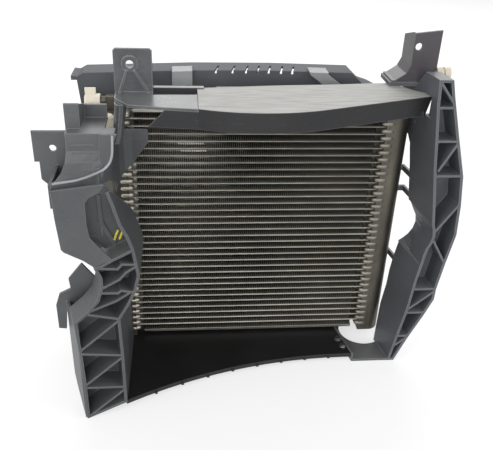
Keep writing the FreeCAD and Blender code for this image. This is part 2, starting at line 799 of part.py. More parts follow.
def make_visor():
    a, middle, b = visor_arc
    deck = plan([a, (middle, b), visor_tip] + visor_rear, visor_under, visor_height)
    centre = circle_centre(a, middle, b)
    inner = [toward(p, centre, wall) for p in (b, middle, a)]
    tip = mitred([b, visor_tip], wall)[1]
    start = mitred([visor_start, a], wall)[0]
    lip_low = visor_height - visor_lip
    lip = plan([visor_start, a, (middle, b), visor_tip, tip, inner[0], (inner[1], inner[2]), start],
               lip_low, visor_under)
    rear_bar = box((visor_seam - 39, -14, visor_height - 5), (visor_seam + 6, -8, visor_height + 1))
    left_cut = front([(-110, lip_low - 1), (-101, lip_low - 1), (-85, visor_height - 2),
                      (-85, visor_height + 4), (-110, visor_height + 4)], -80, -50)
    right_cut = front(from_right([(-1, lip_low - 1), (4.5, visor_height), (10, visor_height),
                                  (10, lip_low - 1)]), -50, -20)
    notch = box((tank_side - 5, -45, lip_low), (tank_side - 3, -25, lip_low + 4))
    solid = joined([deck, lip, rear_bar])
    return solid.cut(left_cut).cut(right_cut).cut(notch)


# Right air guide: truss, inner wall with its hose recess, foot and top beam
right_outer = from_right(raised([(7, 0), (19, 32), (31, 60), (39, 81), (39, 94), (43, 126), (48, 159),
                                 (46, 192), (42, 223), (29, 266), (19, 300), (15, 315.5)]))
right_lower = from_right(raised([(0, 0), (5, 33), (11, 69), (14, 105), (16.7, 124)]))
right_recess = from_right(raised([(16.7, 124), (17.3, 129), (18, 135), (19.5, 143), (22.5, 150), (24, 157),
                                  (23, 164), (21, 171)]))
right_upper = from_right(raised([(21, 171), (17, 199), (12, 230), (8, 262), (4, 291), (2, 315.5)]))
recess_rear = from_right(raised([(8.2, 124), (13, 127.6), (18, 132.6), (22, 139.5), (23.8, 148), (22.5, 156),
                                 (19, 162.6), (15, 171)]))
recess_back = 5.0
right_ribs = [((5, 312), (21, 292)), ((3, 290), (22, 290)), ((6, 258), (32, 258)), ((31, 257), (17, 229)),
              ((14, 223), (42, 223)), ((23, 159), (44, 192)), ((23, 157), (43, 124)), ((12, 94), (39, 94)),
              ((39, 92), (10, 66)), ((9, 64), (32, 64)), ((5, 33), (19, 33)), ((18, 31), (4, 19))]


def slanted(line, slant, y):
    """Front-view line of the slanted wall at a depth, from its place at the front."""
    return [(x + slant * (y - foot_front), z) for x, z in line]


def ruled_wall(near_line, near, far_line, far):
    """Wall between two front-view lines at two depths, thickened outwards."""
    rings = []
    for line, y in ((near_line, near), (far_line, far)):
        rings.append([V(x, y, z) for x, z in line] + [V(x + wall, y, z) for x, z in reversed(line)])
    return lofted(rings)


def make_frame_tab(z, inner, slant):
    """Arm from the wall's rear edge to a screw foot on the rear frame."""
    a = inner + slant * (frame_tab_near - foot_front)
    b = inner + slant * (frame_front - foot_front)
    top = z + frame_tab_height
    arm = plan([(a, frame_tab_near), (a + wall, frame_tab_near), (b + wall, frame_front), (b, frame_front)],
               z, top)
    foot = box((tank_side - frame_tab_reach, frame_front - wall, z), (b + 1, frame_front, top))
    return arm.fuse(foot)


def make_right_foot():
    """Foot plate with the step up to the floor and a tongue under it."""
    back = frame_front - wall
    step_front = foot_front + 1.5
    deck_top = floor_height + wall
    plate = plan([(foot_edge(foot_front), foot_front), (tank_side + 5, foot_front),
                  (tank_side + 8.5, foot_front + 2), (tank_side + 1, 0), (tank_side - 30, back),
                  (foot_edge(back), back)], 0, wall)
    step = plan([(foot_edge(step_front), step_front), (foot_edge(step_front) + rib, step_front),
                 (foot_edge(back) + rib, back), (foot_edge(back), back)], 0, deck_top)
    tongue_ends = [(foot_edge(y), y) for y in (foot_front + 10, foot_front + 31)]
    lap = plan([(x - tongue, y) for x, y in tongue_ends] + [(x + rib, y) for x, y in tongue_ends[::-1]],
               floor_height - rib, floor_height)
    x, y = foot_cut_place
    return [plate.cut(rod(foot_cut_radius, (x, y, -1), (x, y, wall + 1))), step, lap]


def make_right_guide():
    ribs = [tuple(from_right(raised(pair))) for pair in right_ribs]
    outline = right_outer + right_upper[::-1] + right_recess[-2:0:-1] + right_lower[::-1]
    frame = truss(outline, ribs, truss_depth, upper_slant)
    frame.translate(V(0, foot_front, 0))
    back = frame_front
    lower = ruled_wall(right_lower, foot_front, slanted(right_lower, lower_slant, back), back)
    upper = ruled_wall(right_upper, foot_front, slanted(right_upper, upper_slant, back), back)
    recess = ruled_wall(right_recess, foot_front, recess_rear, recess_back)
    lower_rear = raised([(-9.5, -1), (1.5, 45), (4.5, 88), (3, 125), (60, 125), (60, -1)])
    upper_rear = raised([(10.5, 170), (10.5, 191), (9, 214), (9, 235), (14.5, 243), (back, 245)]) + \
        [(back, bracket_seat), (-6, bracket_seat), (-6, bracket_seat + 3), (-19, bracket_seat + 15),
         (-19, bracket_seat + 40), (60, bracket_seat + 40), (60, 170 * rise)]
    lower = lower.cut(side(lower_rear, 100, tank_side + 60))
    upper = upper.cut(side(upper_rear, 100, tank_side + 60))
    beam_right = tank_side + 8
    beam = front([(beam_right - beam_length, visor_height), (beam_right - beam_length, bracket_seat),
                  (beam_right, bracket_seat), (beam_right, visor_height - 12), (beam_right - 10, visor_height)],
                 0, back)
    tabs = [make_frame_tab(*tab) for tab in frame_tabs]
    solid = joined([frame, lower, upper, recess, beam] + make_right_foot() + tabs)
    y, z = small_hole
    small = rod(small_hole_radius, (100, y, z * rise), (tank_side + 20, y, z * rise))
    tip_slot = box((tank_side - 2, -33, visor_height - visor_lip - 2), (tank_side + 8, -17, visor_height + slip))
    holes = [screw_hole((x, y, 0), (x, y, floor_height + 1)) for x, y in foot_screw_places]
    holes += [frame_hole(x, z) for x, z in tab_screw_places]
    return solid.cut(Part.makeCompound([small, tip_slot] + holes))


# Right bracket: upright plate with a curved foot, a folded-back edge and a locating pin
bush_axis = (wall / 2, bracket_seat + bush_rise)
bush_left = tank_side + bush_offset


def make_right_bracket():
    seat = bracket_seat
    top = seat + right_bracket_rise
    left = tank_side + 8 - beam_length + rib
    right = bush_left - 0.2
    far = right_flange_depth
    foot = from_right([(-10, top), (-10, seat + 16), (-13.5, seat + 8), (-23, seat + bracket_sheet)])
    foot.append((left, seat + bracket_sheet))
    plate = front(foot + [(left, seat), (right, seat), (right, top + 3)], 0, wall)
    flange = front(strip(foot, bracket_sheet), 0, far)
    slope = side([(4, top + 0.5), (far + 1, top - 7), (far + 1, top + 5), (4, top + 5)],
                 tank_side - 20, tank_side)
    x, z = tank_side + right_hole[0], seat + right_hole[1]
    hole = rod(bracket_hole_radius, (x, -1, z), (x, wall + 1, z))
    pin_y, pin_z = bush_axis
    pin = prism(12, pin_radius, (right - 1.5, pin_y, pin_z), (bush_left + bush_length + 1, pin_y, pin_z))
    return joined([plate, flange.cut(slope), pin]).cut(hole)


# Nylon bush on the locating pin, with a groove round its middle
def make_bush():
    y, z = bush_axis
    right = bush_left + bush_length
    low = bush_left + (bush_length - bush_groove) / 2
    high = low + bush_groove
    body = joined([rod(bush_radius, (bush_left, y, z), (low, y, z)),
                   rod(bush_core_radius, (low, y, z), (high, y, z)),
                   rod(bush_radius, (high, y, z), (right, y, z))])
    return body.cut(prism(12, pin_radius + screw_play, (bush_left, y, z), (right, y, z)))


# Foam strips that seal the core to the guides
def make_left_seal():
    band = from_left_plane(strip(left_inner[:5], wall), 200)
    return band.common(box((-200, left_wall_back, 0), (0, tank_y - tank_radius - slip, left_seal_top * rise)))


def make_lower_seal():
    top = core_floor + tube_thickness / 2 - side_plate_sheet
    return box((-108, 4, floor_height + wall), (92, core_depth - 4, top))


def make_upper_seal():
    lip_top = core_top - tube_thickness / 2 + side_plate_lip
    return box((-40, -6, lip_top), (100, 2.5, visor_under))


def export(name, solids):
    shape = Part.makeCompound(solids) if isinstance(solids, list) else solids
    shape.translate(V(0, -frame_front - frame_depth / 2, 0))
    shape.exportStep("parts/" + name + ".step")
    pieces = shape.Solids
    valid = all(p.isValid() and p.isClosed() for p in pieces)
    facets = sum(len(p.tessellate(0.2)[1]) for p in pieces)
    print(name, len(pieces), "valid" if valid else "INVALID", facets)
    return facets


os.makedirs("parts", exist_ok=True)
total = 0
total += export("core_tubes", make_tubes())
total += export("core_fins", make_fins())
total += export("top_side_plate", make_side_plate(core_top, 1))
total += export("bottom_side_plate", make_side_plate(core_floor, -1))
total += export("left_header", make_header(-1))
total += export("right_header", make_header(1))
total += export("left_tank", make_tank(-1))
total += export("right_tank", make_tank(1))
total += export("left_tank_caps", make_tank_caps(-1))
total += export("right_tank_caps", make_tank_caps(1))
total += export("lower_port", make_lower_port())
total += export("upper_port", make_upper_port())
total += export("lower_port_cap", make_cap((*lower_port_place, lower_port_height + collar_height), (0, 0, 1)))
total += export("upper_port_cap", make_upper_cap())
total += export("core_lugs", at_lugs(make_lug))
total += export("core_grommets", at_lugs(make_grommet))
total += export("core_screws", at_lugs(make_core_screw))
total += export("rear_frame", make_rear_frame())
total += export("guide_screws", make_guide_screws())
total += export("frame_clips", [make_clip(-81, 19, 12, 0), make_clip(50, 18, 10, 14)])
total += export("floor_panel", make_floor())
total += export("left_truss", make_left_truss())
total += export("left_air_guide", make_left_guide())
total += export("left_bracket", make_left_bracket())
total += export("upper_air_guide", make_visor())
total += export("right_air_guide", make_right_guide())
total += export("right_bracket", make_right_bracket())
total += export("locating_bush", make_bush())
total += export("left_foam_seal", make_left_seal())
total += export("lower_foam_seal", make_lower_seal())
total += export("upper_foam_seal", make_upper_seal())
print("facets", total)
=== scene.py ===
import bmesh
import bpy
import math
from mathutils import Matrix, Vector
from mathutils.bvhtree import BVHTree


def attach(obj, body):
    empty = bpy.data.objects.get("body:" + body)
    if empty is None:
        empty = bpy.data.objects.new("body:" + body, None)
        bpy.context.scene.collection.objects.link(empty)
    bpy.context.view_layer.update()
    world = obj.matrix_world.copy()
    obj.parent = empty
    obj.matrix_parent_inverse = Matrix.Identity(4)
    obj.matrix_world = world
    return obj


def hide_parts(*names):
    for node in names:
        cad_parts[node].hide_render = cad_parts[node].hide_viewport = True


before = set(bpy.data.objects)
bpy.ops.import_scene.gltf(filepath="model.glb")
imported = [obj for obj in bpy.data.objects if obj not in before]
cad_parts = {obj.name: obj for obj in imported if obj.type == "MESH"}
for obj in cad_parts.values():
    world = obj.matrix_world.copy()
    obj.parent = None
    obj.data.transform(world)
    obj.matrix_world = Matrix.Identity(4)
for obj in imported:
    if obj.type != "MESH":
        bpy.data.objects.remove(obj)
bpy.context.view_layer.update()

# The camera stands in front of the part, a little left of its middle and well above it.
# Its place was worked out from the core's tubes, which are straight and evenly spaced.
camera_place = (-0.06842, -0.6273, 0.47495)
camera_data = bpy.data.cameras.new("camera")
camera_data.lens = 47.46
camera_data.sensor_width = 36.0
camera_data.clip_start = 0.02
camera = bpy.data.objects.new("camera", camera_data)
bpy.context.scene.collection.objects.link(camera)
camera_right = Vector((0.9958, -0.0847, 0.0351)).normalized()
camera_back = Vector((-0.0910, -0.8686, 0.4871)).normalized()
camera_up = camera_back.cross(camera_right)
turn = Matrix((camera_right, camera_up, camera_back)).transposed().to_4x4()
camera.matrix_world = Matrix.Translation(camera_place) @ turn
bpy.context.scene.camera = camera

# Studio: a pale sweep of paper under soft light from behind, from both sides and from the front.
# Rays from the camera, also by way of a mirror or glass, see plain white, and the paper keeps
# a soft shadow.
paper_half, paper_glow, room_strength = 6.0, 0.62, 0.62


def linear(code):
    """An sRGB hex colour as the linear colour that a shader's socket takes."""
    parts = [int(code[i:i + 2], 16) / 255 for i in (1, 3, 5)]
    return tuple(c / 12.92 if c <= 0.04045 else ((c + 0.055) / 1.055) ** 2.4
                 for c in parts) + (1.0,)


def add(tree, kind, links=(), **settings):
    """Adds a node and sets its sockets and properties.

    Each link names an input and what feeds it: a socket, a node's first output or a value.
    """
    node = tree.nodes.new(kind)
    for name, value in settings.items():
        if name.startswith("in_"):
            node.inputs[name[3:].replace("_", " ")].default_value = value
        else:
            setattr(node, name, value)
    for source, target in links:
        if isinstance(source, bpy.types.Node):
            source = source.outputs[0]
        if isinstance(source, bpy.types.NodeSocket):
            tree.links.new(source, node.inputs[target])
        else:
            node.inputs[target].default_value = source
    return node


def new_material(name):
    material = bpy.data.materials.new(name)
    material.use_nodes = True
    material.node_tree.nodes.clear()
    return material, material.node_tree


def camera_rays(tree):
    """1 on rays from the camera and on those that a mirror or glass passes on, otherwise 0."""
    path = add(tree, "ShaderNodeLightPath")
    direct = add(tree, "ShaderNodeMath", operation="MAXIMUM",
                 links=[(path.outputs["Is Camera Ray"], 0), (path.outputs["Is Glossy Ray"], 1)])
    return add(tree, "ShaderNodeMath", operation="MAXIMUM",
               links=[(direct, 0), (path.outputs["Is Transmission Ray"], 1)])


paper, tree = new_material("white_paper")
matt = add(tree, "ShaderNodeBsdfDiffuse", in_Color=linear("#ffffff"))
glow = add(tree, "ShaderNodeEmission", in_Color=linear("#ffffff"), in_Strength=1.0)
lifted = add(tree, "ShaderNodeMixShader", in_Fac=paper_glow, links=[(matt, 1), (glow, 2)])
plain = add(tree, "ShaderNodeBsdfDiffuse", in_Color=linear("#d8d8d8"))
mixed = add(tree, "ShaderNodeMixShader",
            links=[(camera_rays(tree), "Fac"), (plain, 1), (lifted, 2)])
add(tree, "ShaderNodeOutputMaterial", links=[(mixed, "Surface")])

sweep_mesh = bpy.data.meshes.new("paper_sweep")
sweep_mesh.from_pydata([(-paper_half, -paper_half, 0), (paper_half, -paper_half, 0),
                        (paper_half, paper_half, 0), (-paper_half, paper_half, 0)],
                       [], [(0, 1, 2, 3)])
sweep = bpy.data.objects.new("paper_sweep", sweep_mesh)
sweep_mesh.materials.append(paper)
bpy.context.scene.collection.objects.link(sweep)

world = bpy.data.worlds.new("studio")
world.use_nodes = True
bpy.context.scene.world = world
tree = world.node_tree
tree.nodes.clear()
dim = add(tree, "ShaderNodeBackground", in_Color=linear("#ffffff"), in_Strength=room_strength)
bright = add(tree, "ShaderNodeBackground", in_Color=linear("#ffffff"), in_Strength=1.0)
mixed = add(tree, "ShaderNodeMixShader",
            links=[(camera_rays(tree), "Fac"), (dim, 1), (bright, 2)])
add(tree, "ShaderNodeOutputWorld", links=[(mixed, "Surface")])


def soft_light(name, place, target, size, power):
    """A rectangular lamp that looks at the target, its size in metres and its power in watts."""
    data = bpy.data.lights.new(name, "AREA")
    data.shape = "RECTANGLE"
    data.size, data.size_y = size
    data.energy = power
    lamp = bpy.data.objects.new(name, data)
    bpy.context.scene.collection.objects.link(lamp)
    aim = (Vector(target) - Vector(place)).to_track_quat("-Z", "Y")
    lamp.matrix_world = Matrix.Translation(place) @ aim.to_matrix().to_4x4()


soft_light("back_softbox", (0.1, 1.6, 1.5), (0.0, 0.0, 0.2), (2.2, 1.2), 26.0)
soft_light("left_softbox", (-1.6, -0.9, 1.3), (0.0, -0.05, 0.15), (1.2, 1.2), 12.0)
soft_light("right_softbox", (1.6, -0.8, 1.2), (0.0, -0.05, 0.15), (1.0, 1.0), 9.0)
soft_light("front_softbox", (-0.2, -2.4, 0.9), (0.0, -0.05, 0.15), (1.6, 1.2), 26.0)

bpy.context.scene.view_settings.view_transform = "Standard"

# Left air guide and left truss: polypropylene filled with talc, injection moulded with a fine
# spark-eroded grain, and screwed to the rear frame. The eye sees a satin grey, cloudy where dust
# has settled. Its edges are painted paler, partly rubbed wear and partly a painted highlight.


def moulded(name, tone, faded, rubbed_and_highlit, roughness, film=0.0, film_and_reflection_tone="#8a8987"):
    """A moulded plastic or a thin coat: its tone, its dusty shade, its shade for rubbed wear and
    painted highlights, and its film, partly painted reflection.
    """
    material, tree = new_material(name)
    place = add(tree, "ShaderNodeTexCoord").outputs["Object"]
    # Clouds of dust, and a grain drawn 0.8 mm wide where the real one is 0.2 mm.
    cloud_width, grain_width = 0.05, 0.0008
    clouds = add(tree, "ShaderNodeTexNoise", in_Scale=1 / cloud_width, in_Detail=5.0,
                 in_Roughness=0.6, links=[(place, "Vector")])
    cloudy = add(tree, "ShaderNodeMapRange", in_From_Min=0.35, in_From_Max=0.7,
                 links=[(clouds, "Value")])
    grain = add(tree, "ShaderNodeTexNoise", in_Scale=1 / grain_width, in_Detail=2.0,
                links=[(place, "Vector")])
    colour = add(tree, "ShaderNodeMixRGB", in_Color1=linear(tone), in_Color2=linear(faded),
                 links=[(cloudy, "Fac")])
    # Faint scuffs some 20 mm long, drawn 1 mm wide where real ones are a few tenths of that.
    turned = add(tree, "ShaderNodeMapping", in_Rotation=(0.2, 0.35, 0.5),
                 in_Scale=(45.0, 900.0, 900.0), links=[(place, "Vector")])
    scuffs = add(tree, "ShaderNodeTexNoise", in_Scale=1.0, in_Detail=3.0,
                 links=[(turned, "Vector")])
    scuffed = add(tree, "ShaderNodeMapRange", in_From_Min=0.62, in_From_Max=0.72, in_To_Max=0.1,
                  links=[(scuffs, "Value")])
    colour = add(tree, "ShaderNodeMixRGB", in_Color2=linear(rubbed_and_highlit),
                 links=[(scuffed, "Fac"), (colour, "Color1")])
    # Edges are painted pale over about 1 mm, where the rounded normal leaves the flat one: a
    # painted highlight, and partly rubbed wear.
    rounded = add(tree, "ShaderNodeBevel", samples=4, in_Radius=0.0011)
    facing = add(tree, "ShaderNodeNewGeometry")
    agree = add(tree, "ShaderNodeVectorMath", operation="DOT_PRODUCT",
                links=[(rounded, 0), (facing.outputs["Normal"], 1)])
    edge_highlight = add(tree, "ShaderNodeMapRange", in_From_Min=0.995, in_From_Max=0.88, in_To_Max=0.6,
               links=[(agree.outputs["Value"], "Value")])
    colour = add(tree, "ShaderNodeMixRGB", in_Color2=linear(rubbed_and_highlit),
                 links=[(edge_highlight, "Fac"), (colour, "Color1")])
    # Faces that look up are painted paler in streaks drawn 1.7 mm wide and 22 mm long: partly a
    # chalky, wiped film and partly a painted reflection.
    height = add(tree, "ShaderNodeSeparateXYZ", links=[(facing.outputs["Normal"], 0)])
    upward = add(tree, "ShaderNodeMapRange", in_From_Min=0.6, in_From_Max=0.95, in_To_Max=film,
                 links=[(height.outputs["Z"], "Value")])
    wiped = add(tree, "ShaderNodeMapping", in_Rotation=(0.0, 0.0, 0.5),
                in_Scale=(45.0, 600.0, 600.0), links=[(place, "Vector")])
    streaks = add(tree, "ShaderNodeTexNoise", in_Scale=1.0, in_Detail=4.0,
                  links=[(wiped, "Vector")])
    streaky = add(tree, "ShaderNodeMapRange", in_From_Min=0.3, in_From_Max=0.65, in_To_Min=0.66,
                  links=[(streaks, "Value")])
    filmed = add(tree, "ShaderNodeMath", operation="MULTIPLY", links=[(upward, 0), (streaky, 1)])
    colour = add(tree, "ShaderNodeMixRGB", in_Color2=linear(film_and_reflection_tone),
                 links=[(filmed, "Fac"), (colour, "Color1")])
    gloss = add(tree, "ShaderNodeMapRange", in_To_Min=roughness - 0.07,
                in_To_Max=roughness + 0.1, links=[(clouds, "Value")])
    relief = add(tree, "ShaderNodeBump", in_Strength=0.25, in_Distance=0.0002,
                 links=[(grain, "Height"), (rounded, "Normal")])
    shader = add(tree, "ShaderNodeBsdfPrincipled", in_IOR=1.49,
                 links=[(colour, "Base Color"), (gloss, "Roughness"), (relief, "Normal")])
    add(tree, "ShaderNodeOutputMaterial", links=[(shader, "Surface")])
    return material


def dress(material, *nodes):
    """Gives a finish to solids that keep their shape."""
    for node in nodes:
        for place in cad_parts[node].material_slots:
            place.material = material


guide_plastic = moulded("moulded_talc_filled_polypropylene", "#434548", "#505254", "#8e9193",
                        0.44, film=0.2)
dress(guide_plastic, "left_air_guide", "left_truss")

# Left bracket: a deck, a corner post and an upright plate, moulded in one of the same plastic
# in a smoother mould. The eye sees a glossier grey with a dusty deck. Its edges and post are
# painted bright, mostly a painted highlight and partly rubbed wear, and its deck is paler, partly a
# painted reflection.
bracket_plastic = moulded("moulded_glossy_talc_filled_polypropylene", "#434548", "#5c5e61",
                          "#b3b5b7", 0.24, film=0.26)
dress(bracket_plastic, "left_bracket")

# Right air guide: the right truss, the inner wall and the foot in one polypropylene moulding.
# It is a shade paler than the left guide. Faces that look up are painted paler, partly dust and
# partly a painted reflection, and its edges are painted pale, partly wear and partly a painted
# highlight.
wall_plastic = moulded("moulded_polypropylene_right_guide", "#4b4d51", "#585a5e", "#9a9da0",
                       0.42, film=0.3)
dress(wall_plastic, "right_air_guide")

# Floor panel: the duct's bottom with a lip along its front, moulded in black polypropylene.
# The eye sees an even, nearly black surface, painted a little paler along its edges as a painted
# highlight.
floor_plastic = moulded("moulded_black_polypropylene_floor", "#0b0b0d", "#131315", "#3a3b3e", 0.5)
dress(floor_plastic, "floor_panel")

# Upper air guide: a visor over the core with a deep front lip, moulded in black polypropylene.
# Its deck is painted pale in wiped streaks, partly a chalky film and partly a painted reflection;
# its lip is plain black, with a painted highlight along its edges.
visor_plastic = moulded("moulded_visor_with_chalky_film", "#0c0d10", "#121316", "#7c7f83", 0.55,
                        film=0.95, film_and_reflection_tone="#a3a29e")
dress(visor_plastic, "upper_air_guide")

# Rear frame: a picture-frame channel behind the core, moulded in one piece in nylon filled with
# glass fibre. The fibres leave it dull and dry to the eye, and its edges are painted paler as a
# painted highlight.
frame_plastic = moulded("moulded_glass_filled_nylon_frame", "#3f4145", "#4a4c50", "#7b7e81", 0.68)
dress(frame_plastic, "rear_frame")

# Right bracket: pressed steel with a folded edge, fixed at the right guide's top.
# Its thin dip paint is purplish brown and satin. Its edges are painted pale, partly wear and partly
# a painted highlight, and its faces that look up are a little paler, partly a painted reflection.
bracket_paint = moulded("dip_painted_pressed_steel", "#393639", "#434044", "#8d8887", 0.4,
                        film=0.2)
dress(bracket_paint, "right_bracket")

# Clips: two bent strips of spring steel, pushed over the frame's top edge.
# Their zinc-flake coat is an even pale grey with a dull shine, and their edges are painted paler as
# a painted highlight.
clip_coat = moulded("zinc_flake_coated_spring_steel", "#75787a", "#86898a", "#a9abab", 0.38)
dress(clip_coat, "frame_clips")

# Port caps and bush: two polyethylene caps that are pushed over the port stubs, and a grooved
# nylon bush on the right bracket's pin. All are moulded, cream, a little waxy, greyed in places,
# with a painted highlight along their edges.
cap_plastic = moulded("moulded_cream_polyethylene_cap", "#e6dfcd", "#d6cdb8", "#efe9dc", 0.42)
dress(cap_plastic, "lower_port_cap", "upper_port_cap")
bush_nylon = moulded("moulded_natural_nylon_bush", "#cfc6b4", "#bdb3a0", "#e2dccd", 0.35)
dress(bush_nylon, "locating_bush")

# Foam strips and rubber rings: open-pore polyurethane foam, cut in strips and pressed between
# the core and the guides, and moulded rubber rings between the core's lugs and the rear frame.
# All are matt, with pores drawn 1 mm to 1.5 mm wide where real ones are under half of that, each
# painted darker in its middle as painted shade.
foam_pore, rubber_pore = 0.001, 0.0015


def porous(name, tone, pore_shade, pore, roughness=0.9):
    """Foam or rubber whose pores, this wide, are painted dark in the middle as painted shade."""
    material, tree = new_material(name)
    place = add(tree, "ShaderNodeTexCoord").outputs["Object"]
    pores = add(tree, "ShaderNodeTexVoronoi", in_Scale=1.0 / pore, links=[(place, "Vector")])
    colour = add(tree, "ShaderNodeMixRGB", in_Color1=linear(pore_shade), in_Color2=linear(tone),
                 links=[(pores.outputs["Distance"], "Fac")])
    relief = add(tree, "ShaderNodeBump", in_Strength=0.5, in_Distance=0.0004,
                 links=[(pores.outputs["Distance"], "Height")])
    shader = add(tree, "ShaderNodeBsdfPrincipled", in_Roughness=roughness, in_IOR=1.5,
                 links=[(colour, "Base Color"), (relief, "Normal")])
    add(tree, "ShaderNodeOutputMaterial", links=[(shader, "Surface")])
    return material


dress(porous("dark_polyurethane_foam", "#2e2e30", "#141415", foam_pore),
      "left_foam_seal", "lower_foam_seal")
dress(porous("pale_polyurethane_foam", "#8f908e", "#5a5b5a", foam_pore), "upper_foam_seal")
dress(porous("moulded_black_rubber", "#262627", "#191919", rubber_pore, 0.7), "core_grommets")

# Core: aluminium tubes, headers and tanks brazed in one furnace run.
# The eye sees dull warm-grey metal with pale flux stains running along it.


def brazed(name, tone, stain, roughness, run=(14.0, 14.0, 5.0)):
    """Bare metal with stains, drawn out along the axis on which their run is smallest."""
    material, tree = new_material(name)
    place = add(tree, "ShaderNodeTexCoord").outputs["Object"]
    # On the core, stains are some 20 mm wide and 60 mm long. The metal's own grain is drawn
    # 0.7 mm wide where the real one is 0.1 mm.
    drawn = add(tree, "ShaderNodeMapping", in_Scale=run, links=[(place, "Vector")])
    stains = add(tree, "ShaderNodeTexNoise", in_Scale=3.5, in_Detail=6.0, in_Roughness=0.65,
                 links=[(drawn, "Vector")])
    stained = add(tree, "ShaderNodeMapRange", in_From_Min=0.4, in_From_Max=0.68,
                  links=[(stains, "Value")])
    grain = add(tree, "ShaderNodeTexNoise", in_Scale=1400.0, links=[(place, "Vector")])
    colour = add(tree, "ShaderNodeMixRGB", in_Color1=linear(tone), in_Color2=linear(stain),
                 links=[(stained, "Fac")])
    gloss = add(tree, "ShaderNodeMapRange", in_To_Min=roughness - 0.08,
                in_To_Max=roughness + 0.12, links=[(stains, "Value")])
    rounded = add(tree, "ShaderNodeBevel", samples=4, in_Radius=0.0008)
    relief = add(tree, "ShaderNodeBump", in_Strength=0.3, in_Distance=0.0002,
                 links=[(grain, "Height"), (rounded, "Normal")])
    shader = add(tree, "ShaderNodeBsdfPrincipled", in_Metallic=1.0,
                 links=[(colour, "Base Color"), (gloss, "Roughness"), (relief, "Normal")])
    add(tree, "ShaderNodeOutputMaterial", links=[(shader, "Surface")])
    return material


tank_metal = brazed("brazed_aluminium_tank", "#57544d", "#716d64", 0.5)
dress(tank_metal, "left_header", "right_header", "left_tank", "right_tank", "left_tank_caps",
      "right_tank_caps", "lower_port", "upper_port", "core_lugs")
# The tubes and side plates are painted paler than the tanks, partly as a painted highlight along
# the tubes' fronts.
tube_metal_with_painted_highlight = brazed("brazed_aluminium_tube", "#96938a", "#b0ada2", 0.42, run=(5.0, 14.0, 14.0))
dress(tube_metal_with_painted_highlight, "core_tubes", "top_side_plate", "bottom_side_plate")

# Fins: aluminium foil folded on rollers into a strip for each gap between two tubes, and brazed
# to both tubes. The foil is painted dark olive, in clouds some 80 mm wide: partly dust and road
# film, and partly painted shade of the deep cells between the tubes.
fin_foil, tree = new_material("folded_aluminium_foil")
place = add(tree, "ShaderNodeTexCoord").outputs["Object"]
film = add(tree, "ShaderNodeTexNoise", in_Scale=12.0, in_Detail=6.0, links=[(place, "Vector")])
filmed = add(tree, "ShaderNodeMapRange", in_From_Min=0.35, in_From_Max=0.65,
             links=[(film, "Value")])
colour = add(tree, "ShaderNodeMixRGB", in_Color1=linear("#363632"), in_Color2=linear("#4c4b46"),
             links=[(filmed, "Fac")])
fin_shader = add(tree, "ShaderNodeBsdfPrincipled", in_Metallic=1.0, in_Roughness=0.42,
                 links=[(colour, "Base Color")])
add(tree, "ShaderNodeOutputMaterial", links=[(fin_shader, "Surface")])

# The middle of the lowest gap lies at first_gap, and each gap above it is one tube_pitch higher.
tube_pitch, tube_thickness, row_count, first_gap = 0.0075, 0.0018, 34, 0.01875
fin_left, fin_length, fin_front, fin_depth = -0.117, 0.234, -0.043, 0.018
fin_height = tube_pitch - tube_thickness
fold_count, points_per_fold = 114, 4
foil_thickness, fold_waver = 0.00022, 0.0007


def new_pattern(name, **sizes):
    """A geometry tree with a named input for each size."""
    tree = bpy.data.node_groups.new(name, "GeometryNodeTree")
    tree.interface.new_socket("Geometry", in_out="INPUT", socket_type="NodeSocketGeometry")
    tree.interface.new_socket("Geometry", in_out="OUTPUT", socket_type="NodeSocketGeometry")
    for label, value in sizes.items():
        kind = "NodeSocketInt" if isinstance(value, int) else "NodeSocketFloat"
        tree.interface.new_socket(label.replace("_", " "), in_out="INPUT", socket_type=kind)
    return tree, add(tree, "NodeGroupInput").outputs


def grown(name, start, tree, sizes, sheet=None):
    """Grows a pattern on a mesh or curve and keeps what comes out as a plain mesh."""
    seed = bpy.data.objects.new(name + "_seed", start)
    bpy.context.scene.collection.objects.link(seed)
    modifier = seed.modifiers.new("pattern", "NODES")
    modifier.node_group = tree
    for item in tree.interface.items_tree:
        if item.in_out == "INPUT" and item.name.replace(" ", "_") in sizes:
            modifier[item.identifier] = sizes[item.name.replace(" ", "_")]
    if sheet:
        wall = seed.modifiers.new("sheet", "SOLIDIFY")
        wall.thickness, wall.offset = sheet, 0.0
    ready = seed.evaluated_get(bpy.context.evaluated_depsgraph_get())
    mesh = bpy.data.meshes.new_from_object(ready)
    piece = bpy.data.objects.new(name, mesh)
    bpy.context.scene.collection.objects.link(piece)
    bpy.data.objects.remove(seed)
    return piece


# A strip starts as a line of points, four to a fold: low, high, high, low. Each odd point is
# pulled back by a share of the fold's width, so that the flanks stand steep between flat crests.
fin_sizes = dict(Points=fold_count * points_per_fold + 1, Fold_width=fin_length / fold_count,
                 Fold_height=fin_height, Fold_lean=-0.16, Depth=fin_depth, Rows=row_count,
                 Row_pitch=tube_pitch, Waver=fold_waver)
tree, sized = new_pattern("folded_fin_rows", **fin_sizes)
spacing = add(tree, "ShaderNodeMath", operation="DIVIDE",
              links=[(sized["Fold width"], 0), (points_per_fold, 1)])
along = add(tree, "ShaderNodeCombineXYZ", links=[(spacing, "X")])
line = add(tree, "GeometryNodeMeshLine", mode="OFFSET",
           in_Start_Location=(fin_left, fin_front, first_gap - fin_height / 2),
           links=[(sized["Points"], "Count"), (along, "Offset")])
index = add(tree, "GeometryNodeInputIndex")
step = add(tree, "ShaderNodeMath", operation="MODULO", links=[(index, 0), (points_per_fold, 1)])
centred = add(tree, "ShaderNodeMath", operation="SUBTRACT",
              links=[(step, 0), ((points_per_fold - 1) / 2, 1)])
centred = add(tree, "ShaderNodeMath", operation="ABSOLUTE", links=[(centred, 0)])
crest = add(tree, "ShaderNodeMath", operation="LESS_THAN", links=[(centred, 0), (1.0, 1)])
